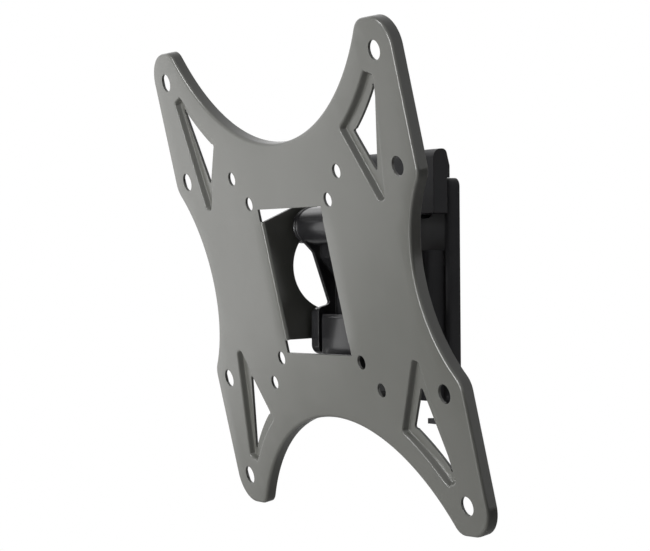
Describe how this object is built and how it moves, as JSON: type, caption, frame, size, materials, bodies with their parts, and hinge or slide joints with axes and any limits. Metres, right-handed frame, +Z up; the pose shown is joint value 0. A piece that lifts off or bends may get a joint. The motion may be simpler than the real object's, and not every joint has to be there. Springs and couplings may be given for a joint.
{
  "type": "tv wall mount",
  "caption": "Tilting and swivelling wall mount for a small flat screen: pressed plate with recessed horns on a cast knuckle, hung on a shallow wall plate.",
  "frame": {"origin": "on the wall, at the centre of the wall plate's hole pattern", "axes": "+X right as seen from the room, -Y out of the wall towards the room, +Z up"},
  "size_m": [0.2286, 0.091, 0.2235],
  "materials": {
    "plate_coat": "satin powder coat, grey, with fine orange peel",
    "cast_coat": "glossy black coat on a die casting",
    "black_coat": "semi-gloss black coat on folded sheet",
    "cover_plastic": "moulded, fine texture with a soft sheen",
    "black_steel": "black oxide, faintly turned",
    "washer_nylon": "black nylon, matte"
  },
  "bodies": {
    "wall_side": {"wall_plate": "black_coat", "top_cover": "cover_plastic", "swivel_bracket": "black_coat", "lock_screw_left": "black_steel", "lock_screw_right": "black_steel", "swivel_bolt": "black_steel", "swivel_nut": "black_steel", "swivel_head_washer": "black_steel", "swivel_nut_washer": "black_steel", "thrust_washer_top": "washer_nylon", "thrust_washer_bottom": "washer_nylon"},
    "knuckle": {"knuckle": "cast_coat"},
    "screen_side": {"screen_plate": "plate_coat", "tilt_bolt": "black_steel", "tilt_nut": "black_steel", "tilt_head_washer": "black_steel", "tilt_nut_washer": "black_steel", "friction_washer_left": "washer_nylon", "friction_washer_right": "washer_nylon"}
  },
  "joints": [
    {"name": "swivel", "type": "hinge", "parent": "wall_side", "child": "knuckle", "pos_m": [0, -0.028, -0.0162], "axis": [0, 0, 1], "range_deg": [-12, 12]},
    {"name": "tilt", "type": "hinge", "parent": "knuckle", "child": "screen_side", "pos_m": [0, -0.0481, 0.0305], "axis": [1, 0, 0], "range_deg": [-18, 2]}
  ]
}
